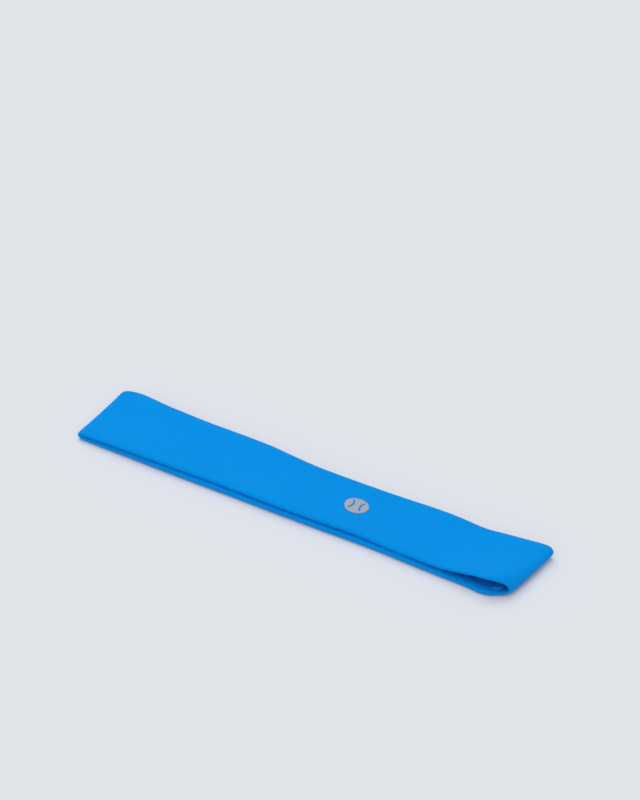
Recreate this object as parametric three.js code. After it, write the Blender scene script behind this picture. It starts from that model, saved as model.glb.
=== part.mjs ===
// Sports headband: a loop of double-layer stretch knit, lying flat with one run on top of the other.
// Millimetres, +X along the laid-flat length, +Y across the band, +Z up.
// The origin is the centre of the bounding box at the surface that the band lies on.
import * as THREE from 'three';

// ---- driving sizes of the laid-flat band ----
const flatLength = 245;
const bandWidth = 41;
const clearance = 0.3;

// ---- the double layer, seen across the band ----
const plyThickness = 0.9;
const edgeChamber = 1.2;
const rollUnder = 3;
const liningLip = 1;
const liningRamp = 3;

// ---- how the loop lies: a creased left fold, an open right fold with a pocket, a ramp between ----
const creaseInnerRadius = 0.1;
const pocketHeight = 5;
const pocketLength = 7;
const rampLength = 32;

// ---- closing seam: where the two short ends of the strip meet, inside the loop ----
const closingSeamInset = 1;
const allowanceWidth = 4;
const allowanceThickness = 0.8;
const seamThreadWidth = 0.7;
const tackLength = 4;
const tackWidth = 1.6;
const tackThickness = 0.4;

// ---- fibre label, caught in the closing seam ----
const labelLength = 14;
const labelWidth = 12;
const labelThickness = 0.4;

// ---- heat-transfer mark on the outer face ----
const markDiameter = 12.5;
const markThickness = 0.3;
const markFromCentre = 28;
const markCurveWidth = 1.1;
const markRim = 1.3;
const markCurveRadius = 6.2;
const markCurveOffset = 8.2;

// ---- smoothness ----
const foldSteps = 6;
const rampSteps = 8;
const lipSegments = 4;
const rimSegments = 16;

// ---- values worked out from the sizes above ----
const halfWidth = bandWidth / 2;
const runThickness = 2 * plyThickness + edgeChamber;
const halfRun = runThickness / 2;
const creaseRadius = halfRun + creaseInnerRadius;
const openRadius = halfRun + (pocketHeight - clearance) / 2;
const creaseCentreX = -flatLength / 2 + creaseRadius + halfRun;
const openCentreX = flatLength / 2 - openRadius - halfRun;
const lowerZ = halfRun;
const stackedZ = lowerZ + 2 * creaseRadius + clearance;
const pocketZ = lowerZ + 2 * openRadius + clearance;
const rampStartX = openCentreX - pocketLength;
const rampEndX = rampStartX - rampLength;
const halfChamber = edgeChamber / 2;
const liningHalfWidth = halfWidth - rollUnder - clearance;
const liningMidBack = halfChamber - clearance;
const liningMidFace = liningMidBack - plyThickness;

// Offsets along the band's normal count outwards from the middle of the run: +halfRun is the outer face.

// A line of stations through straight and curved pieces; an extrusion along it makes one step per station.
class StationCurve extends THREE.Curve {
  constructor(pieces) {
    super();
    this.pieces = pieces;
    this.stations = pieces.reduce((sum, piece) => sum + piece.steps, 0);
  }

  getPoint(t, target = new THREE.Vector3()) {
    let station = t * this.stations;
    let current = this.pieces[0];
    for (const piece of this.pieces) {
      current = piece;
      if (station <= piece.steps) break;
      station -= piece.steps;
    }
    const [x, z] = current.at(Math.min(station / current.steps, 1));
    return target.set(x, 0, z);
  }

  // Stations stay where the pieces put them, close together in the folds and far apart on the straights.
  getUtoTmapping(u) {
    return u;
  }
}

function straight(fromX, toX, z) {
  return { steps: 1, at: (t) => [fromX + (toX - fromX) * t, z] };
}

function fold(centreX, centreZ, radius, fromAngle, toAngle) {
  const at = (t) => {
    const angle = fromAngle + (toAngle - fromAngle) * t;
    return [centreX + radius * Math.cos(angle), centreZ + radius * Math.sin(angle)];
  };
  return { steps: foldSteps, at };
}

function ramp(fromX, toX, fromZ, toZ) {
  const at = (t) => [fromX + (toX - fromX) * t, fromZ + (toZ - fromZ) * (1 - Math.cos(Math.PI * t)) / 2];
  return { steps: rampSteps, at };
}

// The two halves of the loop meet at the folds' tips, half-way up, with the clearance between them.
const lowerRun = new StationCurve([
  fold(creaseCentreX, lowerZ + creaseRadius, creaseRadius, Math.PI, 1.5 * Math.PI),
  straight(creaseCentreX, openCentreX, lowerZ),
  fold(openCentreX, lowerZ + openRadius, openRadius, 1.5 * Math.PI, 2 * Math.PI),
]);

const upperRun = new StationCurve([
  fold(openCentreX, pocketZ - openRadius, openRadius, 0, 0.5 * Math.PI),
  straight(openCentreX, rampStartX, pocketZ),
  ramp(rampStartX, rampEndX, pocketZ, stackedZ),
  straight(rampEndX, creaseCentreX, stackedZ),
  fold(creaseCentreX, stackedZ - creaseRadius, creaseRadius, 0.5 * Math.PI, Math.PI),
]);

// The overlock bundle of each edge seam fills the chamber inside the rolled edge, up to the clearance.
const edgeSeamHeight = edgeChamber - 2 * clearance;
const edgeSeamOuterX = halfWidth - plyThickness - clearance;
const edgeSeamInnerX = liningHalfWidth - liningLip + clearance;
const edgeSeamWidth = edgeSeamOuterX - edgeSeamInnerX;
const edgeSeamX = (edgeSeamOuterX + edgeSeamInnerX) / 2;

// ---- cross-sections: x across the band, y along its outward normal ----

// The outer ply wraps round both long edges and rolls under onto the lining side.
function outerPlySection() {
  const turnX = halfWidth - halfRun;
  const endX = halfWidth - rollUnder;
  const section = new THREE.Shape();
  section.moveTo(endX, -halfRun);
  section.lineTo(turnX, -halfRun);
  section.absarc(turnX, 0, halfRun, -Math.PI / 2, Math.PI / 2, false);
  section.lineTo(-turnX, halfRun);
  section.absarc(-turnX, 0, halfRun, Math.PI / 2, 1.5 * Math.PI, false);
  section.lineTo(-endX, -halfRun);
  section.lineTo(-endX, -halfChamber);
  section.lineTo(-turnX, -halfChamber);
  section.absarc(-turnX, 0, halfChamber, 1.5 * Math.PI, Math.PI / 2, true);
  section.lineTo(turnX, halfChamber);
  section.absarc(turnX, 0, halfChamber, Math.PI / 2, -Math.PI / 2, true);
  section.lineTo(endX, -halfChamber);
  section.closePath();
  return section;
}

// A ribbon that lies close to the outer ply in the middle and steps out to a lip near each long edge.
function steppedSection(reach, middleBack, lipBack, thickness) {
  const lipX = reach - liningLip;
  const middleX = lipX - liningRamp;
  const back = [[-reach, lipBack], [-lipX, lipBack], [-middleX, middleBack],
    [middleX, middleBack], [lipX, lipBack], [reach, lipBack]];
  const face = back.map(([x, y]) => [x, y - thickness]).reverse();
  return new THREE.Shape([...back, ...face].reverse().map(([x, y]) => new THREE.Vector2(x, y)));
}

function roundEndedSection(centreX, width, height) {
  const radius = height / 2;
  const reach = width / 2 - radius;
  const section = new THREE.Shape();
  section.moveTo(centreX - reach, -radius);
  section.lineTo(centreX + reach, -radius);
  section.absarc(centreX + reach, 0, radius, -Math.PI / 2, Math.PI / 2, false);
  section.lineTo(centreX - reach, radius);
  section.absarc(centreX - reach, 0, radius, Math.PI / 2, 1.5 * Math.PI, false);
  return section;
}

function sweep(section, path) {
  const steps = path.stations;
  return new THREE.ExtrudeGeometry(section, { extrudePath: path, steps, curveSegments: lipSegments });
}

// ---- materials ----
const shellKnit = new THREE.MeshStandardMaterial({ color: 0x0b90e5, roughness: 0.85, metalness: 0 });
const liningKnit = new THREE.MeshStandardMaterial({ color: 0x0a84d6, roughness: 0.9, metalness: 0 });
const seamThread = new THREE.MeshStandardMaterial({ color: 0x0a7fd0, roughness: 0.7, metalness: 0 });
const labelSatin = new THREE.MeshStandardMaterial({ color: 0xe9ebee, roughness: 0.5, metalness: 0 });
const markFilm = new THREE.MeshStandardMaterial({ color: 0xa3a3ac, roughness: 0.45, metalness: 0.2 });

const headband = new THREE.Group();

function add(name, geometry, material) {
  const mesh = new THREE.Mesh(geometry, material);
  mesh.name = name;
  headband.add(mesh);
  return mesh;
}

// ---- the two knit plies and the edge seams, in a lower and an upper half of the loop ----
const liningSection = steppedSection(liningHalfWidth, liningMidBack, -halfChamber, plyThickness);
const halves = { lower: lowerRun, upper: upperRun };

for (const [half, path] of Object.entries(halves)) {
  add(`outer_panel_${half}`, sweep(outerPlySection(), path), shellKnit);
  add(`lining_panel_${half}`, sweep(liningSection, path), liningKnit);
  // The section's x axis points to -Y, so the front edge has positive x.
  add(`front_edge_seam_${half}`,
    sweep(roundEndedSection(edgeSeamX, edgeSeamWidth, edgeSeamHeight), path), seamThread);
  add(`rear_edge_seam_${half}`,
    sweep(roundEndedSection(-edgeSeamX, edgeSeamWidth, edgeSeamHeight), path), seamThread);
}

// ---- closing seam: the sewn-together short ends lie on the lining, just left of the open fold ----
const allowanceReach = liningHalfWidth;
const allowanceEndX = openCentreX - closingSeamInset;
const allowanceStartX = allowanceEndX - allowanceWidth;
const allowanceBack = liningMidFace - clearance;
const allowanceLipBack = -halfRun - clearance;
const allowanceSection = steppedSection(allowanceReach, allowanceBack, allowanceLipBack, allowanceThickness);

// A stretch of the allowance section along +X, with the section's outward normal pointing down.
function acrossSeam(fromX, toX) {
  const geometry = new THREE.ExtrudeGeometry(allowanceSection, { depth: toX - fromX, bevelEnabled: false });
  const across = new THREE.Vector3(0, -1, 0);
  const outward = new THREE.Vector3(0, 0, -1);
  const along = new THREE.Vector3(1, 0, 0);
  geometry.applyMatrix4(new THREE.Matrix4().makeBasis(across, outward, along));
  return geometry.translate(fromX, 0, lowerZ);
}

const threadGap = seamThreadWidth + clearance;
add('closing_seam_allowance', acrossSeam(allowanceStartX + threadGap, allowanceEndX - threadGap), liningKnit);
add('closing_seam_overlock', acrossSeam(allowanceStartX, allowanceStartX + seamThreadWidth), seamThread);
add('closing_seam_needle_row', acrossSeam(allowanceEndX - seamThreadWidth, allowanceEndX), seamThread);

// ---- bartacks hold the allowance down near its two ends ----
const tackZ = lowerZ - allowanceLipBack + allowanceThickness + clearance + tackThickness / 2;
const tackY = allowanceReach - tackWidth / 2;
for (const [side, sign] of [['front', -1], ['rear', 1]]) {
  const tack = add(`${side}_bartack`, new THREE.BoxGeometry(tackLength, tackWidth, tackThickness), seamThread);
  tack.position.set((allowanceStartX + allowanceEndX) / 2, sign * tackY, tackZ);
}

// ---- fibre label: its end butts against the closing seam and it lies on the lining ----
const label = add('fibre_label', new THREE.BoxGeometry(labelLength, labelWidth, labelThickness), labelSatin);
const labelZ = lowerZ - liningMidFace + clearance + labelThickness / 2;
label.position.set(allowanceStartX - clearance - labelLength / 2, 0, labelZ);

// ---- heat-transfer mark: a plain ball roundel with two curved slots ----
function curvedSlot(side) {
  const centreX = side * markCurveOffset;
  const inner = markCurveRadius - markCurveWidth / 2;
  const outer = markCurveRadius + markCurveWidth / 2;
  const rimRadius = markDiameter / 2 - markRim;
  const reachX = (markCurveOffset ** 2 + rimRadius ** 2 - markCurveRadius ** 2) / (2 * markCurveOffset);
  const halfAngle = Math.acos((markCurveOffset - reachX) / markCurveRadius);
  const middle = side > 0 ? Math.PI : 0;
  const slot = new THREE.Path();
  slot.absarc(centreX, 0, outer, middle - halfAngle, middle + halfAngle, false);
  slot.absarc(centreX, 0, inner, middle + halfAngle, middle - halfAngle, true);
  slot.closePath();
  return slot;
}

const roundel = new THREE.Shape();
roundel.absarc(0, 0, markDiameter / 2, 0, 2 * Math.PI, false);
roundel.holes.push(curvedSlot(-1), curvedSlot(1));
const roundelOptions = { depth: markThickness, bevelEnabled: false, curveSegments: rimSegments };
const mark = add('transfer_mark', new THREE.ExtrudeGeometry(roundel, roundelOptions), markFilm);
mark.position.set(markFromCentre, 0, stackedZ + halfRun + clearance);

export default headband;
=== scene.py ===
import math

import bpy
import numpy as np
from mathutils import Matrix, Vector, noise


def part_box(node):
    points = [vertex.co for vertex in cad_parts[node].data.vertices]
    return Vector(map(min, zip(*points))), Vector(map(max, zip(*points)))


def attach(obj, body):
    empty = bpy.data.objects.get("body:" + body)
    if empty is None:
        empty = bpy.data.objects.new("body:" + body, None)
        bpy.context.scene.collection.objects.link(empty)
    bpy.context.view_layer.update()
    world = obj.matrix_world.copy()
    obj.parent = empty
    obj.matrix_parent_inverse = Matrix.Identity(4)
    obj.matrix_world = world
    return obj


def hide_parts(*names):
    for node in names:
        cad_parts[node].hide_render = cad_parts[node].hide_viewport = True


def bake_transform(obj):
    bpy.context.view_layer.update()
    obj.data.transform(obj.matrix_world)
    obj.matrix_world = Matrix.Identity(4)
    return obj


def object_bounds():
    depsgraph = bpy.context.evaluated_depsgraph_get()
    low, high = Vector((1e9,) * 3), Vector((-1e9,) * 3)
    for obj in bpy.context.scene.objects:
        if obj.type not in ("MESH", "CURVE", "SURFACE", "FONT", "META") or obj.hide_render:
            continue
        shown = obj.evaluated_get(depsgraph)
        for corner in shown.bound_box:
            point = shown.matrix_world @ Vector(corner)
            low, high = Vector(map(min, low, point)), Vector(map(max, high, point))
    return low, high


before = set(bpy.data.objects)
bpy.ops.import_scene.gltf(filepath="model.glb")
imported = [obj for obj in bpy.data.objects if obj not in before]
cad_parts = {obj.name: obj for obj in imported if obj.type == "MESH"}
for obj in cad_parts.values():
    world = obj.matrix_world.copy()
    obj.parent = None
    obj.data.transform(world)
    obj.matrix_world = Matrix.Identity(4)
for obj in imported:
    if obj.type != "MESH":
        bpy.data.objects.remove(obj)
cadLow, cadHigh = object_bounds()
mm = 0.001

# how the band lies: one run on the floor, sharply folded at the left, open at the right
band = {
    "halfLength": (cadHigh.x - cadLow.x) / 2,
    "halfWidth": (cadHigh.y - cadLow.y) / 2,
    "halfEdge": 1.6 * mm,  # half the thickness of the rims, with the seam allowances inside
    "halfMiddle": 0.85 * mm,  # half the thickness of the two plies between the rims
    "crest": 3.2 * mm,  # from the long edge to the top of the rim
    "rimSquareness": 2.7,
    "hollow": 2.4,  # how late the middle rises to the rim
    "runGap": 0.1 * mm,
    "thinEnd": 0.72,  # the rims are flatter towards the open fold
    "thinFrom": 60 * mm,
    "thinTo": 96 * mm,
    "pressFront": 0.74,  # and pressed down at the crease
    "pressRear": 0.94,
    "pressLength": 52 * mm,
    "rampEnd": 78 * mm,
    "rampHandle": 13 * mm,
    "skew": 0.095,  # the open fold does not run quite square across
    "bow": 3.0,  # and curves back towards the front, per metre
    "tipThin": 0.68,  # the cloth is stretched thinner round the open fold
    "tipReach": 12 * mm,
    "tipShort": 1.0 * mm,
}
# the open fold's middle line is a low tip with a short curve below and a long one above
openFold = {
    "front": {"reachLow": 2.6 * mm, "riseLow": 1.8 * mm, "reachHigh": 7.5 * mm, "riseHigh": 6.3 * mm},
    "rear": {"reachLow": 2.4 * mm, "riseLow": 2.4 * mm, "reachHigh": 4.0 * mm, "riseHigh": 2.3 * mm},
}
lowerZ = band["halfEdge"]
creaseRadius = band["halfEdge"] + band["runGap"] / 2
stackZ = lowerZ + 2 * creaseRadius
runLength = 2 * band["halfLength"]  # nominal length of cloth from fold tip to fold tip


def arcPoints(centreX, centreZ, radiusX, radiusZ, fromAngle, toAngle, steps=40):
    angle = np.radians(np.linspace(fromAngle, toAngle, steps))
    return np.stack([centreX + radiusX * np.cos(angle), centreZ + radiusZ * np.sin(angle)], 1)


def bezierPoints(a, b, c, d, steps=60):
    t = np.linspace(0, 1, steps)[:, None]
    return a * (1 - t) ** 3 + 3 * b * t * (1 - t) ** 2 + 3 * c * t * t * (1 - t) + d * t**3


def smooth(x, start, end):
    t = np.clip((x - start) / (end - start), 0, 1)
    return t * t * (3 - 2 * t)


def thinning(x):
    return 1 - (1 - band["thinEnd"]) * smooth(x, band["thinFrom"], band["thinTo"])


def loopTable(fold):
    # middle line of the band as (place, x, z): place 0 and 2 at the crease, 1 at the open fold's tip
    creaseX = -band["halfLength"] + creaseRadius + band["halfEdge"]
    openLow = lowerZ * band["thinEnd"]
    tipX = band["halfLength"] - band["tipShort"] - openLow * band["tipThin"]
    tipZ = openLow + fold["riseLow"]
    lowX, highX = tipX - fold["reachLow"], tipX - fold["reachHigh"]
    flatX = np.linspace(creaseX, lowX, 80)[1:-1]
    lower = np.vstack([
        arcPoints(creaseX, lowerZ + creaseRadius, creaseRadius, creaseRadius, 180, 270),
        np.stack([flatX, lowerZ * thinning(flatX)], 1),
        arcPoints(lowX, tipZ, fold["reachLow"], fold["riseLow"], 270, 360),
    ])
    handle = np.array([band["rampHandle"], 0])
    rampTop = np.array([highX, tipZ + fold["riseHigh"]])
    rampFoot = np.array([band["rampEnd"], stackZ])
    upper = np.vstack([
        arcPoints(highX, tipZ, fold["reachHigh"], fold["riseHigh"], 0, 90),
        bezierPoints(rampTop, rampTop - handle, rampFoot + handle, rampFoot)[1:],
        arcPoints(creaseX, stackZ - creaseRadius, creaseRadius, creaseRadius, 90, 180),
    ])
    tables = []
    for number, points in enumerate((lower, upper)):
        steps = np.linalg.norm(np.diff(points, axis=0), axis=1)
        reached = np.concatenate([[0], np.cumsum(steps)])
        tables.append(np.column_stack([number + reached / reached[-1], points]))
    return np.vstack([tables[0], tables[1][1:]])


frontTable = loopTable(openFold["front"])
rearTable = loopTable(openFold["rear"])


def through(x, pairs):
    # a smooth curve through pairs of (x, value), both in mm
    at, value = np.array(pairs).T * mm
    slope = np.gradient(value, at)
    k = np.clip(np.searchsorted(at, x) - 1, 0, len(at) - 2)
    width = at[k + 1] - at[k]
    t = np.clip((x - at[k]) / width, 0, 1)
    first = value[k] * (1 + 2 * t) * (1 - t) ** 2 + slope[k] * width * t * (1 - t) ** 2
    return first + value[k + 1] * t * t * (3 - 2 * t) + slope[k + 1] * width * t * t * (t - 1)


def rimRise(across):
    # 0 in the middle of the band, 1 at the crest of its rim
    q = np.clip(np.abs(across) / (band["halfWidth"] - band["crest"]), 0, 1)
    return np.sin(math.pi / 2 * q ** band["hollow"]) ** 2


def faceHeight(across):
    # half the thickness of the band at a distance across it, with its rims rounded off
    rise = band["halfMiddle"] + (band["halfEdge"] - band["halfMiddle"]) * rimRise(across)
    fromCrest = np.abs(across) - (band["halfWidth"] - band["crest"])
    past = np.clip(fromCrest, 0, band["crest"]) / band["crest"]
    power = band["rimSquareness"]
    return rise * (1 - past**power) ** (1 / power)


def middleLine(place, across):
    # point (x, z) and outward normal of the band's middle line
    rear = smooth(across, -band["halfWidth"], band["halfWidth"])[:, None]

    def at(s):
        s = np.mod(s, 2)
        front, back = (
            np.stack([np.interp(s, table[:, 0], table[:, k]) for k in (1, 2)], -1)
            for table in (frontTable, rearTable)
        )
        return front * (1 - rear) + back * rear

    step = 0.0004
    ahead = at(place + step) - at(place - step)
    ahead /= np.linalg.norm(ahead, axis=1)[:, None]
    return at(place), np.stack([ahead[:, 1], -ahead[:, 0]], 1)


# how the outline leaves a plain rectangle, as (distance from the centre, inset) in mm
outline = {
    "upperRear": (
        (-123, 0.2), (-117, -0.7), (-111, -1.2), (-104, -0.6), (-97, 0.4), (-88, 1.0), (-76, 1.5),
        (-45, 1.6), (-31, 2.1), (-20, 3.2), (-7, 4.3), (7, 4.6), (25, 4.4), (43, 3.7), (60, 2.9),
        (75, 3.0), (90, 4.0), (99, 3.0), (108, 1.9), (116, 0.6), (123, 0),
    ),
    "upperFront": (
        (-123, 0), (-70, 0.2), (-50, 0.7), (0, 0.7), (20, 1.1), (38, 1.8), (56, 1.2), (75, 0.7),
        (100, 0.7), (113, 1.0), (117, 2.0), (120, 3.6), (123, 4.6),
    ),
    "lowerRear": (
        (-123, 0.2), (-104, 0.3), (-88, 1.6), (-31, 2.6), (-7, 4.7), (25, 5.0), (43, 4.4), (60, 3.6),
        (90, 4.4), (108, 2.4), (116, 0.9), (123, 0),
    ),
    "lowerFront": (
        (-123, -0.3), (-60, -0.5), (-32, -0.25), (10, 0), (34, 0.5), (53, 0.5), (63, 0.15), (80, -0.2),
        (100, -0.5), (108, -1.0), (113, -0.2), (117, 1.4), (120, 3.2), (123, 4.4),
    ),
    "corners": {
        "openFront": 7.5 * mm,
        "openRear": 2 * mm,
        "creaseFront": 0.8 * mm,
        "creaseRear": 3.6 * mm,
    },
}


def roundCorner(x, y, signX, signY, radius):
    # carries a square corner onto a round one
    reachX = band["halfLength"] - band["halfEdge"]
    u = np.clip((x * signX - reachX + radius) / radius, 0, 1)
    w = np.clip((y * signY - band["halfWidth"] + radius) / radius, 0, 1)
    both = (u > 0) & (w > 0)
    roundX = signX * (reachX - radius + radius * u * np.sqrt(1 - w * w / 2))
    roundY = signY * (band["halfWidth"] - radius + radius * w * np.sqrt(1 - u * u / 2))
    movedX = x + roundX - signX * (reachX - radius + radius * u)
    movedY = y + roundY - signY * (band["halfWidth"] - radius + radius * w)
    return np.where(both, movedX, x), np.where(both, movedY, y)


relief = {
    "droopLower": 0.3 * mm,
    "droopUpper": 0.4 * mm,
    "wave": 0.22 * mm,
    "waveLength": 36 * mm,
    "dimple": 0.07 * mm,
    "dimpleLength": 8 * mm,
    "sway": 0.12 * mm,
    "swaySeed": 14,
    "waveSeed": 3,
    "dimpleSeed": 9,
    "runShift": 50 * mm,  # parts the lower run's sway from the upper one's
}
# how far from each fold the lie changes
lie = {
    "sharedOutline": 8 * mm,  # both runs share one outline round a fold
    "insetReach": 1.2,  # in half widths
    "straighten": 0.8,  # share of the rims' extra thickness that the middle gives way by
    "creaseFrom": 1.5 * mm,
    "creaseTo": 7 * mm,
    "openFrom": 2.5 * mm,
    "openTo": 9 * mm,
    "slantLength": 30 * mm,
    "droopFrom": 26 * mm,
    "droopTo": 6 * mm,
}


def wander(points, length, seed):
    return np.array([noise.noise(Vector(p) / length + Vector((seed, 0, 0))) for p in points])


def lay(place, across, out):
    # lays cloth coordinates (place along the loop, across the band, out of its middle line) on the loop
    line, normal = middleLine(place, across)
    x = line[:, 0]
    lower = np.mod(place, 2) < 1
    half = across / band["halfWidth"]
    front = np.where(lower, through(x, outline["lowerFront"]), through(x, outline["upperFront"]))
    rear = np.where(lower, through(x, outline["lowerRear"]), through(x, outline["upperRear"]))
    toTip = np.minimum(np.mod(place, 1), 1 - np.mod(place, 1)) * runLength
    tip = 1 - smooth(toTip, 0, lie["sharedOutline"])
    level = (through(x, outline["lowerFront"]) + through(x, outline["upperFront"])) / 2
    front = front * (1 - tip) + level * tip
    level = (through(x, outline["lowerRear"]) + through(x, outline["upperRear"])) / 2
    rear = rear * (1 - tip) + level * tip
    reach = lie["insetReach"]
    y = across + np.clip(-half, 0, reach) * front - np.clip(half, 0, reach) * rear
    swayAt = np.stack([x, 0 * x, lower * relief["runShift"]], 1)
    sway = wander(swayAt, relief["waveLength"], relief["swaySeed"])
    y = y + relief["sway"] * sway
    # both fold lines run straight across, although the middle is thinner than the rims
    thinner = lie["straighten"] * (band["halfEdge"] - faceHeight(across)) * thinning(x)
    x = x - thinner * (1 - smooth(x + band["halfLength"], lie["creaseFrom"], lie["creaseTo"]))
    x = x + thinner * (1 - smooth(band["halfLength"] - x, lie["openFrom"], lie["openTo"]))
    corner = outline["corners"]
    x, y = roundCorner(x, y, 1, -1, corner["openFront"])
    x, y = roundCorner(x, y, 1, 1, corner["openRear"])
    x, y = roundCorner(x, y, -1, -1, corner["creaseFront"])
    x, y = roundCorner(x, y, -1, 1, corner["creaseRear"])
    slant = band["skew"] * y - band["bow"] * np.minimum(y, 0) ** 2
    x = x + slant * smooth(x, band["halfLength"] - lie["slantLength"], band["halfLength"])
    # the middle of each run droops a little, and the upper one is gently uneven
    droopFrom, droopTo = band["halfLength"] - lie["droopFrom"], band["halfLength"] - lie["droopTo"]
    inside = 1 - smooth(np.abs(line[:, 0]), droopFrom, droopTo)
    droop = np.where(lower, relief["droopLower"], -relief["droopUpper"]) * (1 - rimRise(across))
    plane = np.stack([x, y, 0 * x], 1)
    uneven = relief["wave"] * wander(plane, relief["waveLength"], relief["waveSeed"])
    uneven += relief["dimple"] * wander(plane, relief["dimpleLength"], relief["dimpleSeed"])
    fromTip = np.abs(np.mod(place, 2) - 1) * runLength
    stretched = 1 - (1 - band["tipThin"]) * (1 - smooth(fromTip, 0, band["tipReach"]))
    sag = inside * (droop + np.where(lower, 0, 1) * uneven)
    offset = out * thinning(line[:, 0]) * stretched + sag
    pressed = band["pressFront"] + (band["pressRear"] - band["pressFront"]) * (half + 1) / 2
    fromCrease = line[:, 0] + band["halfLength"]
    pressed = 1 - (1 - pressed) * (1 - smooth(fromCrease, 0, band["pressLength"]))
    z = (line[:, 1] + normal[:, 1] * offset) * pressed
    return np.stack([x + normal[:, 0] * offset, y, z], 1)


def only(piece):
    bpy.ops.object.select_all(action="DESELECT")
    piece.select_set(True)
    bpy.context.view_layer.objects.active = piece


def modify(piece, kind, **values):
    only(piece)
    modifier = piece.modifiers.new(kind.title(), kind)
    for key, value in values.items():
        setattr(modifier, key, value)
    bpy.ops.object.modifier_apply(modifier=modifier.name)


def editAll(piece, *steps):
    # runs edit-mode operators on the whole mesh
    only(piece)
    bpy.ops.object.mode_set(mode="EDIT")
    bpy.ops.mesh.select_all(action="SELECT")
    for step in steps:
        step()
    bpy.ops.object.mode_set(mode="OBJECT")


def shade(piece, angle):
    only(piece)
    bpy.ops.object.shade_smooth_by_angle(angle=math.radians(angle))


def turnOutward(piece):
    editAll(piece, lambda: bpy.ops.mesh.normals_make_consistent(inside=False))


def meshPoints(piece):
    points = np.empty(len(piece.data.vertices) * 3)
    piece.data.vertices.foreach_get("co", points)
    return points.reshape(-1, 3)


def setPoints(piece, points):
    piece.data.vertices.foreach_set("co", np.asarray(points, float).ravel())
    piece.data.update()


def wrap(piece, face):
    # carries a piece modelled flat (x along the cloth, y across, z off the face) onto the loop
    flat = meshPoints(piece)
    place = flat[:, 0] / runLength
    off = {
        "middle": flat[:, 2],
        "inside": -(faceHeight(flat[:, 1]) + flat[:, 2]),
        "outside": faceHeight(flat[:, 1]) + flat[:, 2],
    }[face]
    setPoints(piece, lay(place, flat[:, 1], off))
    turnOutward(piece)
    return place


def placeAt(x, upper=False):
    # place along the loop where the flat run's middle line has this x
    table = frontTable[frontTable[:, 0] >= 1][::-1] if upper else frontTable[frontTable[:, 0] <= 1]
    return float(np.interp(x, table[:, 1], table[:, 0]))


opening = {"rise": 92 * mm}


def bendWithLoop(piece, place):
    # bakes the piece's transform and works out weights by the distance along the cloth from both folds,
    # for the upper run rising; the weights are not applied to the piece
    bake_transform(piece)
    place = np.mod(place, 2)
    fromOpen = (place - 1) * runLength
    fromCrease = (2 - place) * runLength
    weight = smooth(fromOpen, 0, opening["rise"]) * smooth(fromCrease, 0, opening["rise"])
    weight = np.where(place < 1, 0, weight).astype(np.float32)


# the seam that closes the band into a loop, on the lower run beside the open fold
_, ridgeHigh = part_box("closing_seam_allowance")
overlockLow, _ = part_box("closing_seam_overlock")
needleLow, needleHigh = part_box("closing_seam_needle_row")
labelLow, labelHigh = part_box("fibre_label")
markLow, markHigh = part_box("transfer_mark")
closingPlace = placeAt((needleLow.x + needleHigh.x) / 2)


stations = {
    "trials": 8001,
    "easing": 2.5,  # the spacing is full at this many fold reaches
    "seamGap": 0.2 * mm,
    "seamGrowth": 0.3,  # of the distance from the closing seam
}


def clothStations(spacing, foldSpacing, foldReach):
    # places along the loop, close together in both folds and at the closing seam
    s = np.linspace(0, 2, stations["trials"])
    toFold = np.minimum(np.abs(s - 1), np.minimum(s, 2 - s)) * runLength
    far = stations["easing"] * foldReach
    gap = foldSpacing + (spacing - foldSpacing) * smooth(toFold, foldReach, far)
    fromSeam = np.abs(s - closingPlace) * runLength
    gap = np.minimum(gap, stations["seamGap"] + fromSeam * stations["seamGrowth"])
    count = np.concatenate([[0], np.cumsum(runLength * np.diff(s) / gap[1:])])
    wanted = np.linspace(0, count[-1], int(count[-1]) + 1)
    return np.interp(wanted, count, s)[:-1]


def ringSheet(name, places, section):
    # a sheet of cloth all the way round the loop; section holds (across, out) for its columns
    rows, cols = len(places), len(section)
    place, across = np.repeat(places, cols), np.tile(section[:, 0], rows)
    points = lay(place, across, np.tile(section[:, 1], rows))
    grid = np.arange(rows * cols).reshape(rows, cols)
    after = np.roll(grid, -1, axis=0)
    faces = np.stack([grid[:, :-1], grid[:, 1:], after[:, 1:], after[:, :-1]], -1).reshape(-1, 4)
    mesh = bpy.data.meshes.new(name)
    mesh.from_pydata(points.tolist(), [], faces.tolist())
    piece = bpy.data.objects.new(name, mesh)
    bpy.context.collection.objects.link(piece)
    # cloth coordinates in metres: along the loop and across the cut width
    steps = np.linalg.norm(np.diff(section, axis=0), axis=1)
    widths = np.concatenate([[0], np.cumsum(steps)])
    u = np.append(places, 2) * runLength
    low = np.meshgrid(u[:-1], widths[:-1], indexing="ij")
    high = np.meshgrid(u[1:], widths[1:], indexing="ij")
    corners = [(low[0], low[1]), (low[0], high[1]), (high[0], high[1]), (high[0], low[1])]
    coords = np.stack([np.stack(corner, -1) for corner in corners], 2)
    mesh.uv_layers.new(name="cloth").data.foreach_set("uv", coords.ravel())
    return piece, widths[-1]


def pressSeam(piece, places, cols, depth, reach):
    # a fine valley across the cloth where its two ends are sewn together
    normals = np.empty(len(piece.data.vertices) * 3)
    piece.data.vertex_normals.foreach_get("vector", normals)
    away = (np.repeat(places, cols) - closingPlace) * runLength
    dip = depth * np.exp(-((away / reach) ** 2))
    setPoints(piece, meshPoints(piece) - normals.reshape(-1, 3) * dip[:, None])


def thicken(piece, places, cols, ply):
    modify(piece, "SOLIDIFY", thickness=ply, offset=-1, use_even_offset=False)
    shade(piece, 60)
    return np.tile(np.repeat(places, cols), 2)


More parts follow.
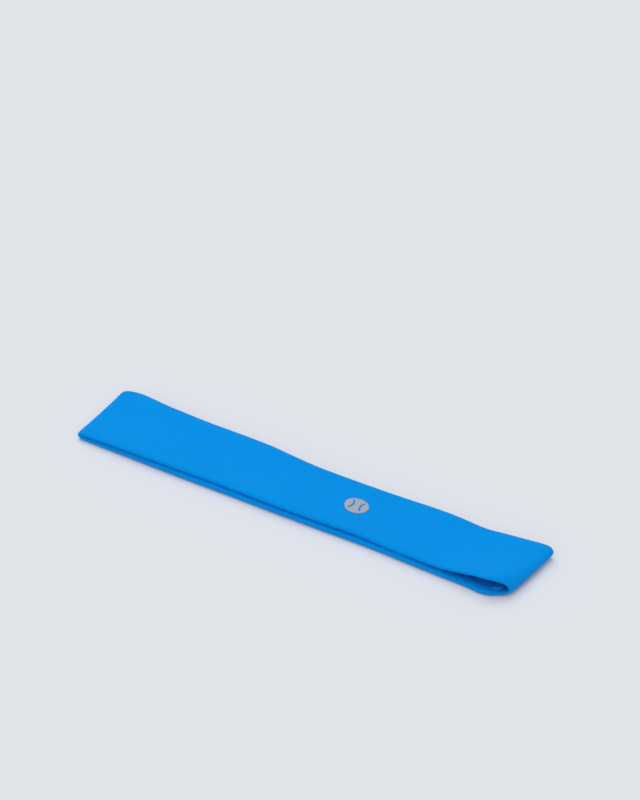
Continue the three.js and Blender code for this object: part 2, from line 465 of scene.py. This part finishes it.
# outer knit: over the outer face, round both rims and under to the edge seams
shell = {
    "ply": 0.75 * mm,
    "spacing": 1.5 * mm,
    "foldSpacing": 0.42 * mm,
    "foldReach": 9 * mm,
    "faceColumns": 44,
    "rimColumns": 11,
    "rollUnder": 3.9 * mm,
    "tuck": 0.5 * mm,
    "tuckIn": 0.3 * mm,
    "seamDepth": 0.3 * mm,
    "seamReach": 0.5 * mm,
}


def shellSection():
    crestAt = band["halfWidth"] - band["crest"]
    face = np.linspace(-crestAt, crestAt, shell["faceColumns"])
    turn = np.linspace(0, math.pi, 2 * shell["rimColumns"] + 1)[1:]
    power = 2 / band["rimSquareness"]
    across = crestAt + band["crest"] * np.sin(turn) ** power
    out = band["halfEdge"] * np.sign(np.cos(turn)) * np.abs(np.cos(turn)) ** power
    rim = np.stack([across, out], 1)
    under = np.linspace(crestAt, band["halfWidth"] - shell["rollUnder"], 4)[1:]
    rim = np.vstack([rim, np.stack([under, -faceHeight(under)], 1)])
    rim = np.vstack([rim, rim[-1] + (-shell["tuckIn"], shell["tuck"])])
    return np.vstack([rim[::-1] * (-1, 1), np.stack([face, faceHeight(face)], 1), rim])


section = shellSection()
places = clothStations(shell["spacing"], shell["foldSpacing"], shell["foldReach"])
outerShell, shellWidth = ringSheet("outerShell", places, section)
pressSeam(outerShell, places, len(section), shell["seamDepth"], shell["seamReach"])
shellPlace = thicken(outerShell, places, len(section), shell["ply"])
print("outer knit laid,", len(outerShell.data.vertices), "vertices")

# lining knit: the inner face, from one edge seam to the other
lining = {
    "ply": 0.6 * mm,
    "spacing": 1.8 * mm,
    "foldSpacing": 0.5 * mm,
    "foldReach": 9 * mm,
    "columns": 38,
    "seamGap": 0.2 * mm,
    "seamDepth": 0.2 * mm,
    "tuck": 0.5 * mm,
    "tuckIn": 0.2 * mm,
}


def liningSection():
    reach = band["halfWidth"] - shell["rollUnder"] - lining["seamGap"]
    across = np.linspace(reach, -reach, lining["columns"])
    flat = np.stack([across, -faceHeight(across)], 1)
    turned = (lining["tuckIn"], lining["tuck"])
    return np.vstack([flat[0] + turned, flat, flat[-1] + np.multiply(turned, (-1, 1))])


section = liningSection()
places = clothStations(lining["spacing"], lining["foldSpacing"], lining["foldReach"])
liningShell, liningWidth = ringSheet("liningShell", places, section)
pressSeam(liningShell, places, len(section), lining["seamDepth"], shell["seamReach"])
liningPlace = thicken(liningShell, places, len(section), lining["ply"])
print("lining laid,", len(liningShell.data.vertices), "vertices")


def thread(name, points, radius, sides=1):
    # sewing thread along a list of flat points, as a closed round tube
    curve = bpy.data.curves.new(name, "CURVE")
    curve.dimensions = "3D"
    curve.bevel_depth = radius
    curve.bevel_resolution = sides
    curve.use_fill_caps = True
    spline = curve.splines.new("POLY")
    spline.points.add(len(points) - 1)
    spline.points.foreach_set("co", np.column_stack([points, np.ones(len(points))]).ravel())
    piece = bpy.data.objects.new(name, curve)
    bpy.context.collection.objects.link(piece)
    only(piece)
    bpy.ops.object.convert(target="MESH")
    editAll(piece, lambda: bpy.ops.mesh.remove_doubles(threshold=radius / 50))
    return piece


def joined(name, pieces):
    bpy.ops.object.select_all(action="DESELECT")
    for piece in pieces:
        piece.select_set(True)
    bpy.context.view_layer.objects.active = pieces[0]
    bpy.ops.object.join()
    pieces[0].name = name
    return pieces[0]


def strip(name, low, high, cutsX, cutsY, bevel):
    # a flat strip of cloth with soft edges, modelled lying flat between two corners
    bpy.ops.object.select_all(action="DESELECT")
    bpy.ops.mesh.primitive_cube_add(size=1)
    piece = bpy.context.object
    piece.name = name
    size = np.subtract(high, low)
    setPoints(piece, (meshPoints(piece) + 0.5) * size + low)
    modify(piece, "BEVEL", width=bevel, segments=3, limit_method="ANGLE")
    for axis, cuts in ((0, cutsX), (1, cutsY)):
        for at in np.linspace(low[axis], high[axis], cuts + 2)[1:-1]:
            point = [0, 0, 0]
            normal = [0, 0, 0]
            point[axis], normal[axis] = at, 1
            editAll(piece, lambda: bpy.ops.mesh.bisect(plane_co=point, plane_no=normal))
    shade(piece, 50)
    return piece


# edge seams: the allowances of both plies inside each rim, wrapped in overlock thread
edgeSeam = {
    "centre": 17.6 * mm,
    "halfBundle": 0.85 * mm,
    "halfThick": 0.32 * mm,
    "thread": 0.11 * mm,
    "pitch": 2.1 * mm,
    "perLoop": 10,
    "lean": 0.35,  # of the pitch
    "ribbonSides": 10,
    "ribbonStep": 4,
    "flatness": 0.6,
    "endGap": 0.01 * mm,
}


def makeEdgeSeam(name, side):
    spec = edgeSeam
    turns = int(2 * runLength / spec["pitch"])
    count = turns * spec["perLoop"]
    along = np.linspace(0, 2 * runLength, count + 1)
    # seam allowances as one soft ribbon of both cut edges
    angle = np.linspace(0, 2 * math.pi, spec["ribbonSides"], endpoint=False)
    rings = along[:-1:spec["ribbonStep"]]
    ringX = np.repeat(rings, len(angle))
    rounds = np.tile(angle, len(rings))
    squash = np.abs(np.cos(rounds)) ** spec["flatness"] * np.sign(np.cos(rounds))
    flat = np.stack([
        ringX,
        side * spec["centre"] + spec["halfBundle"] * squash,
        spec["halfThick"] * np.sin(rounds),
    ], 1)
    grid = np.arange(len(flat)).reshape(len(rings), -1)
    after, beside = np.roll(grid, -1, axis=0), np.roll(grid, -1, axis=1)
    both = np.roll(after, -1, axis=1)
    faces = np.stack([grid, beside, both, after], -1).reshape(-1, 4)
    mesh = bpy.data.meshes.new(name)
    mesh.from_pydata(flat.tolist(), [], faces.tolist())
    ribbon = bpy.data.objects.new(name, mesh)
    bpy.context.collection.objects.link(ribbon)
    ribbonPlace = wrap(ribbon, "middle")
    # looper thread round the cut edges
    phase = np.arange(count + 1) / spec["perLoop"] * 2 * math.pi
    lean = spec["lean"] * spec["pitch"] * np.sin(phase)
    loops = np.stack([
        np.clip(along + lean, 0, 2 * runLength - spec["endGap"]),
        side * spec["centre"] + (spec["halfBundle"] + spec["thread"]) * np.cos(phase),
        (spec["halfThick"] + spec["thread"]) * np.sin(phase),
    ], 1)
    looper = thread(name + "Thread", loops, spec["thread"])
    looperPlace = wrap(looper, "middle")
    piece = joined(name, [ribbon, looper])
    shade(piece, 60)
    return piece, np.concatenate([ribbonPlace, looperPlace])


frontEdgeSeam, frontSeamPlace = makeEdgeSeam("frontEdgeSeam", -1)
rearEdgeSeam, rearSeamPlace = makeEdgeSeam("rearEdgeSeam", 1)
print("edge seams sewn")

# closing seam: the allowance folded to one side inside the loop, with its stitching
closing = {
    "wide": needleHigh.x - overlockLow.x,
    "halfAcross": ridgeHigh.y,
    "lift": 0.12 * mm,
    "thick": 0.95 * mm,
    "thread": 0.14 * mm,
    "overlockPitch": 1.3 * mm,
    "stitch": 2.4 * mm,
    "bareEdge": 0.35 * mm,
    "softEdge": 0.28 * mm,
    "cutsAlong": 3,
    "cutsAcross": 38,
}
overlock = {
    "perLoop": 14,
    "middle": 0.95 * mm,  # from the allowance's free edge
    "reach": 0.75 * mm,
    "endGap": 0.3 * mm,
    "spread": 0.97,
    "clear": 0.06 * mm,
}
needle = {
    "perStitch": 12,
    "fromFold": 0.7 * mm,
    "wobble": 0.05 * mm,
    "endGap": 0.2 * mm,
    "above": 0.1 * mm,
    "dip": 0.3 * mm,
    "bluntness": 0.35,
}
closingFrom = placeAt(overlockLow.x) * runLength
closingTo = closingFrom + closing["wide"]

closingSeamAllowance = strip(
    "closingSeamAllowance",
    (closingFrom + closing["bareEdge"], -closing["halfAcross"], closing["lift"]),
    (closingTo, closing["halfAcross"], closing["lift"] + closing["thick"]),
    closing["cutsAlong"],
    closing["cutsAcross"],
    closing["softEdge"],
)
wrap(closingSeamAllowance, "inside")


def makeClosingOverlock():
    # threads wrapped over the allowance's free edge, one loop after another
    loops = int(2 * closing["halfAcross"] / closing["overlockPitch"])
    t = np.arange(loops * overlock["perLoop"] + 1) / overlock["perLoop"]
    phase = t * 2 * math.pi
    halfThick = closing["thick"] / 2
    points = np.stack([
        closingFrom + overlock["middle"] - overlock["reach"] * np.cos(phase),
        -closing["halfAcross"] + overlock["endGap"] + t * closing["overlockPitch"] * overlock["spread"],
        closing["lift"] + halfThick - (halfThick + overlock["clear"]) * np.sin(phase),
    ], 1)
    piece = thread("closingSeamOverlock", points, closing["thread"])
    wrap(piece, "inside")
    shade(piece, 60)
    return piece


def makeNeedleRow():
    # lock stitches along the seam line: long floats that dip into the cloth between them
    count = int(2 * closing["halfAcross"] / closing["stitch"])
    t = np.arange(count * needle["perStitch"] + 1) / needle["perStitch"]
    raised = np.abs(np.sin(math.pi * t)) ** needle["bluntness"]
    rowLength = 2 * closing["halfAcross"] - 2 * needle["endGap"]
    points = np.stack([
        closingTo - needle["fromFold"] + needle["wobble"] * np.sin(2 * math.pi * t),
        -closing["halfAcross"] + needle["endGap"] + t * rowLength / count,
        closing["lift"] + closing["thick"] + needle["above"] - needle["dip"] * (1 - raised),
    ], 1)
    piece = thread("closingSeamNeedleRow", points, closing["thread"])
    wrap(piece, "inside")
    shade(piece, 60)
    return piece


closingSeamOverlock = makeClosingOverlock()
closingSeamNeedleRow = makeNeedleRow()

# bartacks: dense bars of thread that hold the allowance's two ends down
tack = {
    "length": 3.8 * mm,
    "wide": 1.5 * mm,
    "thread": 0.15 * mm,
    "crossings": 26,
    "perCrossing": 4,
    "overswing": 1.4,
    "fromEnd": 0.1 * mm,
    "startGap": 0.2 * mm,
    "above": 0.12 * mm,
    "arch": 0.14 * mm,
    "underGap": 0.25 * mm,
    "underSink": 0.02 * mm,
    "underPoints": 14,
    "underThread": 0.9,  # of the thread
    "underPlaces": (-0.35, 0, 0.35),  # of the width
}


def makeBartack(name, side):
    spec = tack
    middle = side * (closing["halfAcross"] - spec["wide"] / 2 - spec["fromEnd"])
    top = closing["lift"] + closing["thick"] + spec["above"]
    steps = np.arange(spec["crossings"] * spec["perCrossing"] + 1) / spec["perCrossing"]
    swing = np.clip(spec["overswing"] * np.sin(math.pi * steps), -1, 1)
    zigzag = np.stack([
        closingFrom + spec["startGap"] + steps / spec["crossings"] * spec["length"],
        middle + spec["wide"] / 2 * swing,
        top + spec["arch"] * (1 - swing**2),
    ], 1)
    bar = thread(name, zigzag, spec["thread"])
    wrap(bar, "inside")
    pieces = [bar]
    run = np.linspace(closingFrom + spec["underGap"], closingFrom + spec["length"], spec["underPoints"])
    for offset in spec["underPlaces"]:
        beside = np.full(len(run), middle + offset * spec["wide"])
        under = np.stack([run, beside, np.full(len(run), top - spec["underSink"])], 1)
        piece = thread(name + "Under", under, spec["thread"] * spec["underThread"])
        wrap(piece, "inside")
        pieces.append(piece)
    piece = joined(name, pieces)
    shade(piece, 60)
    return piece


frontBartack = makeBartack("frontBartack", -1)
rearBartack = makeBartack("rearBartack", 1)
print("closing seam sewn and tacked")

# fibre label: a blank folded ribbon of satin, its two ends caught in the closing seam
label = {
    "reach": labelHigh.x - labelLow.x,
    "halfWide": (labelHigh.y - labelLow.y) / 2,
    "gap": 0.32 * mm,
    "ply": 0.16 * mm,
    "lift": 0.25 * mm,
    "curl": 0.5 * mm,
    "bow": 0.15 * mm,
    "pastSeam": 1.2 * mm,
    "caught": 1.0 * mm,
    "columns": 15,
    "rows": 22,
    "turnPoints": 9,
}


def makeLabel():
    spec = label
    seamAt = placeAt(labelHigh.x) * runLength + spec["pastSeam"]
    straight = np.linspace(0, spec["reach"] + spec["caught"], spec["rows"])
    bend = np.radians(np.linspace(-90, 90, spec["turnPoints"]))[1:-1]
    radius = spec["gap"] / 2 + spec["ply"]
    path = [(seamAt - x, spec["lift"]) for x in straight]
    turnX, turnZ = seamAt - straight[-1], spec["lift"] + radius
    path += [(turnX - radius * math.cos(a), turnZ + radius * math.sin(a)) for a in bend]
    path += [(seamAt - x, spec["lift"] + 2 * radius) for x in straight[::-1]]
    path = np.array(path)
    across = np.linspace(-spec["halfWide"], spec["halfWide"], spec["columns"])
    lifted = spec["curl"] * ((seamAt - path[:, 0]) / spec["reach"]) ** 2
    points, faces = [], []
    for row, (x, z) in enumerate(path):
        for y in across:
            bow = spec["bow"] * (1 - (y / spec["halfWide"]) ** 2)
            points.append((x, y, z + lifted[row] - bow * (lifted[row] / spec["curl"])))
    cols = spec["columns"]
    for row in range(len(path) - 1):
        for k in range(cols - 1):
            a = row * cols + k
            faces.append((a, a + 1, a + 1 + cols, a + cols))
    mesh = bpy.data.meshes.new("fibreLabel")
    mesh.from_pydata(points, [], faces)
    piece = bpy.data.objects.new("fibreLabel", mesh)
    bpy.context.collection.objects.link(piece)
    modify(piece, "SOLIDIFY", thickness=spec["ply"], offset=0)
    wrap(piece, "inside")
    shade(piece, 50)
    length = np.linalg.norm(np.diff(path, axis=0), axis=1).sum()
    return piece, (length, 2 * spec["halfWide"])


fibreLabel, labelFlat = makeLabel()
print("label caught in the seam")

# heat-transfer mark: a thin ball roundel with two curved slots, printed on the upper run
mark = {
    "radius": (markHigh.x - markLow.x) / 2,
    "film": 0.16 * mm,
    "rim": 1.3 * mm,
    "slot": 1.1 * mm,
    "curve": 6.2 * mm,
    "curveAway": 8.2 * mm,
    "sink": 0.03 * mm,
    "grid": 1.1 * mm,
    "softEdge": 0.05 * mm,
}


def makeMark():
    spec = mark
    bpy.ops.object.select_all(action="DESELECT")
    bpy.ops.mesh.primitive_cylinder_add(vertices=96, radius=spec["radius"], depth=spec["film"])
    disc = bpy.context.object
    disc.name = "transferMark"
    modify(disc, "BEVEL", width=spec["softEdge"], segments=2, limit_method="ANGLE")
    for side in (-1, 1):
        bpy.ops.object.select_all(action="DESELECT")
        bpy.ops.mesh.primitive_torus_add(
            location=(side * spec["curveAway"], 0, 0), major_segments=96, minor_segments=12,
            major_radius=spec["curve"], minor_radius=spec["slot"] / 2,
        )
        slot = bpy.context.object
        inner = spec["radius"] - spec["rim"]
        bpy.ops.mesh.primitive_cylinder_add(vertices=64, radius=inner, depth=4 * spec["slot"])
        keep = bpy.context.object
        modify(slot, "BOOLEAN", operation="INTERSECT", object=keep, solver="EXACT")
        modify(disc, "BOOLEAN", operation="DIFFERENCE", object=slot, solver="EXACT")
        bpy.data.objects.remove(slot)
        bpy.data.objects.remove(keep)
    for axis in (0, 1):
        for at in np.arange(-spec["radius"] + spec["grid"] / 2, spec["radius"], spec["grid"]):
            point, normal = [0, 0, 0], [0, 0, 0]
            point[axis], normal[axis] = at, 1
            editAll(disc, lambda: bpy.ops.mesh.bisect(plane_co=point, plane_no=normal))
    flat = meshPoints(disc)
    centre = placeAt((markLow.x + markHigh.x) / 2, upper=True) * runLength
    flat[:, 0] = centre - flat[:, 0]
    flat[:, 1] += (markLow.y + markHigh.y) / 2
    flat[:, 2] += spec["film"] / 2 - spec["sink"]
    setPoints(disc, flat)
    wrap(disc, "outside")
    shade(disc, 40)
    return disc


transferMark = makeMark()
print("mark pressed on")


def mathNode(nodes, links, operation, *inputs):
    node = nodes.new("ShaderNodeMath")
    node.operation = operation
    for index, value in enumerate(inputs):
        if isinstance(value, (int, float)):
            node.inputs[index].default_value = value
        else:
            links.new(value, node.inputs[index])
    return node.outputs[0]


# one V-shaped stitch: how its legs slope, and how the yarn falls away beside and between them
stitch = {"slope": 1.3, "sidePower": 4, "middlePower": 6, "middleDepth": 0.5, "yarnShare": 0.6}


def knitStitches():
    # rows of V-shaped stitches on cloth coordinates: yarn height, and a mask for the painted shade
    # between the yarns
    group = bpy.data.node_groups.new("knitStitches", "ShaderNodeTree")
    for name, kind in (("Cloth", "Vector"), ("Wale", "Float"), ("Course", "Float")):
        group.interface.new_socket(name, in_out="INPUT", socket_type="NodeSocket" + kind)
    for name in ("Height", "Gap Shade"):
        group.interface.new_socket(name, in_out="OUTPUT", socket_type="NodeSocketFloat")
    nodes, links = group.nodes, group.links
    source, result = nodes.new("NodeGroupInput"), nodes.new("NodeGroupOutput")
    split = nodes.new("ShaderNodeSeparateXYZ")
    links.new(source.outputs["Cloth"], split.inputs[0])

    def calc(operation, *inputs):
        return mathNode(nodes, links, operation, *inputs)

    column = calc("DIVIDE", split.outputs["Y"], source.outputs["Wale"])
    row = calc("DIVIDE", split.outputs["X"], source.outputs["Course"])
    fold = calc("ABSOLUTE", calc("SUBTRACT", calc("FRACT", column), 0.5))
    slope = calc("MULTIPLY", fold, stitch["slope"])
    phase = calc("MULTIPLY", calc("SUBTRACT", row, slope), 2 * math.pi)
    yarn = calc("MULTIPLY", calc("ADD", calc("SINE", phase), 1), 0.5)
    side = calc("POWER", calc("MULTIPLY", fold, 2), stitch["sidePower"])
    middle = calc("POWER", calc("SUBTRACT", 1, calc("MULTIPLY", fold, 2)), stitch["middlePower"])
    valley = calc("MULTIPLY", middle, stitch["middleDepth"])
    wale = calc("SUBTRACT", calc("SUBTRACT", 1, side), valley)
    rounded = calc("ADD", calc("MULTIPLY", yarn, stitch["yarnShare"]), 1 - stitch["yarnShare"])
    height = calc("MULTIPLY", rounded, wale)
    links.new(height, result.inputs["Height"])
    links.new(calc("SUBTRACT", 1, height), result.inputs["Gap Shade"])
    return group


def softVariation():
    # slow mottling and fine fuzz, both on the piece's own coordinates
    group = bpy.data.node_groups.new("softVariation", "ShaderNodeTree")
    for name in ("Mottle Scale", "Fuzz Scale"):
        group.interface.new_socket(name, in_out="INPUT", socket_type="NodeSocketFloat")
    for name in ("Mottle", "Fuzz"):
        group.interface.new_socket(name, in_out="OUTPUT", socket_type="NodeSocketFloat")
    nodes, links = group.nodes, group.links
    source, result = nodes.new("NodeGroupInput"), nodes.new("NodeGroupOutput")
    place = nodes.new("ShaderNodeTexCoord")
    for name in ("Mottle", "Fuzz"):
        grain = nodes.new("ShaderNodeTexNoise")
        grain.inputs["Detail"].default_value = 4
        links.new(place.outputs["Object"], grain.inputs["Vector"])
        links.new(source.outputs[name + " Scale"], grain.inputs["Scale"])
        links.new(grain.outputs["Fac"], result.inputs[name])
    return group


knit = knitStitches()
variation = softVariation()
fibre = {"roughSpread": 0.07, "depth": 0.05 * mm, "sheenRoughness": 0.45}


def startMaterial(name, look):
    # a principled material with mottled colour, varied roughness and fuzz, and its parts for more
    material = bpy.data.materials.new(name)
    material.use_nodes = True
    nodes, links = material.node_tree.nodes, material.node_tree.links
    shader = nodes["Principled BSDF"]
    vary = nodes.new("ShaderNodeGroup")
    vary.node_tree = variation
    vary.inputs["Mottle Scale"].default_value = look["mottle"]
    vary.inputs["Fuzz Scale"].default_value = look["fuzz"]
    tone = nodes.new("ShaderNodeMix")
    tone.data_type = "RGBA"
    tone.inputs[6].default_value = (*look["colour"], 1)
    tone.inputs[7].default_value = (*look["deep"], 1)
    links.new(vary.outputs["Mottle"], tone.inputs[0])
    links.new(tone.outputs[2], shader.inputs["Base Color"])
    rough = nodes.new("ShaderNodeMapRange")
    rough.inputs["To Min"].default_value = look["roughness"] - fibre["roughSpread"]
    rough.inputs["To Max"].default_value = look["roughness"] + fibre["roughSpread"]
    links.new(vary.outputs["Fuzz"], rough.inputs["Value"])
    links.new(rough.outputs[0], shader.inputs["Roughness"])
    bump = nodes.new("ShaderNodeBump")
    bump.inputs["Strength"].default_value = look["fuzzBump"]
    bump.inputs["Distance"].default_value = fibre["depth"]
    links.new(vary.outputs["Fuzz"], bump.inputs["Height"])
    links.new(bump.outputs[0], shader.inputs["Normal"])
    shader.inputs["Specular IOR Level"].default_value = look["specular"]
    shader.inputs["Sheen Weight"].default_value = look.get("sheen", 0)
    shader.inputs["Sheen Roughness"].default_value = fibre["sheenRoughness"]
    shader.inputs["Sheen Tint"].default_value = (*look.get("sheenTint", (1, 1, 1)), 1)
    return material, nodes, links, shader, tone, bump


def addRelief(nodes, links, shader, bump, height, strength, distance):
    top = nodes.new("ShaderNodeBump")
    top.inputs["Strength"].default_value = strength
    top.inputs["Distance"].default_value = distance
    links.new(height, top.inputs["Height"])
    links.new(bump.outputs[0], top.inputs["Normal"])
    links.new(top.outputs[0], shader.inputs["Normal"])


def knitMaterial(name, look):
    material, nodes, links, shader, tone, bump = startMaterial(name, look)
    cloth = nodes.new("ShaderNodeUVMap")
    cloth.uv_map = "cloth"
    stitches = nodes.new("ShaderNodeGroup")
    stitches.node_tree = knit
    stitches.inputs["Wale"].default_value = look["wale"]
    stitches.inputs["Course"].default_value = look["course"]
    links.new(cloth.outputs[0], stitches.inputs["Cloth"])
    # painted shade: the colour is multiplied by the darker gap colour between the yarns
    between = nodes.new("ShaderNodeMix")
    between.data_type = "RGBA"
    between.blend_type = "MULTIPLY"
    between.inputs[7].default_value = (*look["gap"], 1)
    links.new(stitches.outputs["Gap Shade"], between.inputs[0])
    links.new(tone.outputs[2], between.inputs[6])
    links.new(between.outputs[2], shader.inputs["Base Color"])
    height = stitches.outputs["Height"]
    addRelief(nodes, links, shader, bump, height, look["knitBump"], look["yarn"])
    return material


def threadMaterial(name, look):
    # twisted filament thread: fine slanted bands
    material, nodes, links, shader, tone, bump = startMaterial(name, look)
    place = nodes.new("ShaderNodeTexCoord")
    twist = nodes.new("ShaderNodeTexWave")
    twist.bands_direction = "DIAGONAL"
    twist.inputs["Scale"].default_value = look["twist"]
    twist.inputs["Distortion"].default_value = look["distortion"]
    links.new(place.outputs["Object"], twist.inputs["Vector"])
    addRelief(nodes, links, shader, bump, twist.outputs["Fac"], look["relief"], look["reliefDepth"])
    return material


def satinMaterial(name, look):
    # long floats of satin weave, with faint ribs along the ribbon
    material, nodes, links, shader, tone, bump = startMaterial(name, look)
    place = nodes.new("ShaderNodeTexCoord")
    ribs = nodes.new("ShaderNodeTexWave")
    ribs.bands_direction = "Y"
    ribs.inputs["Scale"].default_value = look["ribs"]
    ribs.inputs["Distortion"].default_value = look["distortion"]
    links.new(place.outputs["Object"], ribs.inputs["Vector"])
    addRelief(nodes, links, shader, bump, ribs.outputs["Fac"], look["relief"], look["reliefDepth"])
    return material


def filmMaterial(name, look):
    # pressed film that takes on a little of the knit below it
    material, nodes, links, shader, tone, bump = startMaterial(name, look)
    shader.inputs["Metallic"].default_value = look["metallic"]
    place = nodes.new("ShaderNodeTexCoord")
    pressed = nodes.new("ShaderNodeTexVoronoi")
    pressed.inputs["Scale"].default_value = look["pressed"]
    links.new(place.outputs["Object"], pressed.inputs["Vector"])
    height = pressed.outputs["Distance"]
    addRelief(nodes, links, shader, bump, height, look["relief"], look["reliefDepth"])
    return material


knitLook = {
    "colour": (0.0004, 0.345, 0.95),
    "deep": (0.0003, 0.32, 0.91),
    # gap: the painted shade multiplied into the colour between the yarns
    "gap": (0.8, 0.88, 0.93),
    "wale": 0.62 * mm,
    "course": 0.5 * mm,
    "yarn": 0.12 * mm,
    "knitBump": 0.8,
    "fuzzBump": 0.25,
    "fuzz": 2600,
    "mottle": 45,
    "roughness": 0.86,
    "specular": 0.03,
    "sheen": 0.07,
    "sheenTint": (0.3, 0.75, 1.0),
}
liningLook = dict(
    knitLook,
    colour=(0.001, 0.28, 0.86),
    deep=(0.0006, 0.25, 0.8),
    wale=0.8 * mm,
    course=0.65 * mm,
    knitBump=0.9,
)
threadLook = {
    "colour": (0.002, 0.31, 0.86),
    "deep": (0.001, 0.24, 0.75),
    "fuzz": 4200,
    "mottle": 300,
    "roughness": 0.55,
    "specular": 0.25,
    "fuzzBump": 0.2,
    "sheen": 0.1,
    "sheenTint": (0.2, 0.6, 1.0),
    "twist": 1400,
    "distortion": 1.5,
    "relief": 0.5,
    "reliefDepth": 0.05 * mm,
}
satinLook = {
    "colour": (0.84, 0.85, 0.87),
    "deep": (0.76, 0.77, 0.8),
    "fuzz": 3000,
    "mottle": 220,
    "roughness": 0.42,
    "specular": 0.4,
    "fuzzBump": 0.15,
    "sheen": 0.2,
    "ribs": 900,
    "distortion": 0.6,
    "relief": 0.35,
    "reliefDepth": 0.03 * mm,
}
filmLook = {
    "colour": (0.42, 0.42, 0.455),
    "deep": (0.36, 0.36, 0.395),
    "fuzz": 2400,
    "mottle": 400,
    "roughness": 0.5,
    "specular": 0.3,
    "fuzzBump": 0.2,
    "metallic": 0.15,
    "pressed": 1500,
    "relief": 0.25,
    "reliefDepth": 0.05 * mm,
}

allowanceLook = dict(threadLook, roughness=0.85, specular=0.05, twist=700)

shellKnit = knitMaterial("shellKnit", knitLook)
liningKnit = knitMaterial("liningKnit", liningLook)
seamThread = threadMaterial("seamThread", threadLook)
allowanceCloth = threadMaterial("allowanceCloth", allowanceLook)
labelSatin = satinMaterial("labelSatin", satinLook)
markFilm = filmMaterial("markFilm", filmLook)
print("materials mixed")

finish = (
    (outerShell, shellKnit, "shell_knit", ("outer_panel_lower", "outer_panel_upper")),
    (liningShell, liningKnit, "lining_knit", ("lining_panel_lower", "lining_panel_upper")),
    (frontEdgeSeam, seamThread, "seam_thread", ("front_edge_seam_lower", "front_edge_seam_upper")),
    (rearEdgeSeam, seamThread, "seam_thread", ("rear_edge_seam_lower", "rear_edge_seam_upper")),
    (closingSeamAllowance, allowanceCloth, "lining_knit", ("closing_seam_allowance",)),
    (closingSeamOverlock, seamThread, "seam_thread", ("closing_seam_overlock",)),
    (closingSeamNeedleRow, seamThread, "seam_thread", ("closing_seam_needle_row",)),
    (frontBartack, seamThread, "seam_thread", ("front_bartack",)),
    (rearBartack, seamThread, "seam_thread", ("rear_bartack",)),
    (fibreLabel, labelSatin, "label_satin", ("fibre_label",)),
    (transferMark, markFilm, "mark_film", ("transfer_mark",)),
)
for piece, material, slotName, nodeNames in finish:
    piece.data.materials.clear()
    piece.data.materials.append(material)
    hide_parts(*nodeNames)

bendWithLoop(outerShell, shellPlace)
bendWithLoop(liningShell, liningPlace)
bendWithLoop(frontEdgeSeam, frontSeamPlace)
bendWithLoop(rearEdgeSeam, rearSeamPlace)
lowerPieces = (
    closingSeamAllowance,
    closingSeamOverlock,
    closingSeamNeedleRow,
    frontBartack,
    rearBartack,
    fibreLabel,
)
for piece in lowerPieces:
    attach(piece, "lower_run")
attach(transferMark, "upper_run")

print("pieces ride on the frame")

# plain pale floor, soft light and the camera
studio = {
    "azimuth": 31.4,
    "elevation": 36.1,
    "distance": 1.4198,
    "aim": (-0.03639, 0.07028, 0.0),
    "lens": 126.0,
    "sensor": 36,
    "floorColour": (0.785, 0.813, 0.862),
    "floorSize": 60,
    "floorDrop": 0.05 * mm,
    "floorRoughness": 0.9,
    "floorSpecular": 0.1,
    "clipStart": 0.05,
    "clipEnd": 100,
    "ambient": 0.455,
    "ambientColour": (1.05, 0.98, 0.90),
    "lights": {
        "softKey": {
            "from": (-0.35, 0.3, 1.0),
            "strength": 1.3,
            "size": 60,
            "colour": (0.90, 0.99, 1.11),
        },
        "frontFill": {
            "from": (0.45, -0.9, 0.7),
            "strength": 0.78,
            "size": 70,
            "colour": (1.08, 0.98, 0.88),
        },
    },
}


def makeStudio():
    bpy.ops.object.select_all(action="DESELECT")
    bpy.ops.mesh.primitive_plane_add(size=studio["floorSize"])
    floor = bpy.context.object
    floor.name = "floor"
    points = meshPoints(floor)
    points[:, 2] = -studio["floorDrop"]
    setPoints(floor, points)
    paper = bpy.data.materials.new("palePaper")
    paper.use_nodes = True
    shader = paper.node_tree.nodes["Principled BSDF"]
    shader.inputs["Base Color"].default_value = (*studio["floorColour"], 1)
    shader.inputs["Roughness"].default_value = studio["floorRoughness"]
    shader.inputs["Specular IOR Level"].default_value = studio["floorSpecular"]
    floor.data.materials.append(paper)

    world = bpy.data.worlds.new("softRoom")
    bpy.context.scene.world = world
    world.use_nodes = True
    sky = world.node_tree.nodes["Background"]
    sky.inputs[0].default_value = (*studio["ambientColour"], 1)
    sky.inputs[1].default_value = studio["ambient"]

    for name, spec in studio["lights"].items():
        sun = bpy.data.lights.new(name, "SUN")
        sun.energy = spec["strength"]
        sun.color = spec["colour"]
        sun.angle = math.radians(spec["size"])
        lamp = bpy.data.objects.new(name, sun)
        bpy.context.collection.objects.link(lamp)
        lamp.rotation_mode = "QUATERNION"
        lamp.rotation_quaternion = Vector(spec["from"]).to_track_quat("Z", "Y")

    camera = bpy.data.cameras.new("camera")
    camera.lens = studio["lens"]
    camera.sensor_width = studio["sensor"]
    camera.clip_start = studio["clipStart"]
    camera.clip_end = studio["clipEnd"]
    holder = bpy.data.objects.new("camera", camera)
    bpy.context.collection.objects.link(holder)
    turn, tilt = math.radians(studio["azimuth"]), math.radians(studio["elevation"])
    back = Vector((math.sin(turn) * math.cos(tilt), -math.cos(turn) * math.cos(tilt), math.sin(tilt)))
    holder.location = Vector(studio["aim"]) + back * studio["distance"]
    holder.rotation_mode = "QUATERNION"
    holder.rotation_quaternion = back.to_track_quat("Z", "Y")
    bpy.context.scene.camera = holder
    bpy.context.scene.view_settings.view_transform = "Standard"


makeStudio()
print("studio ready")
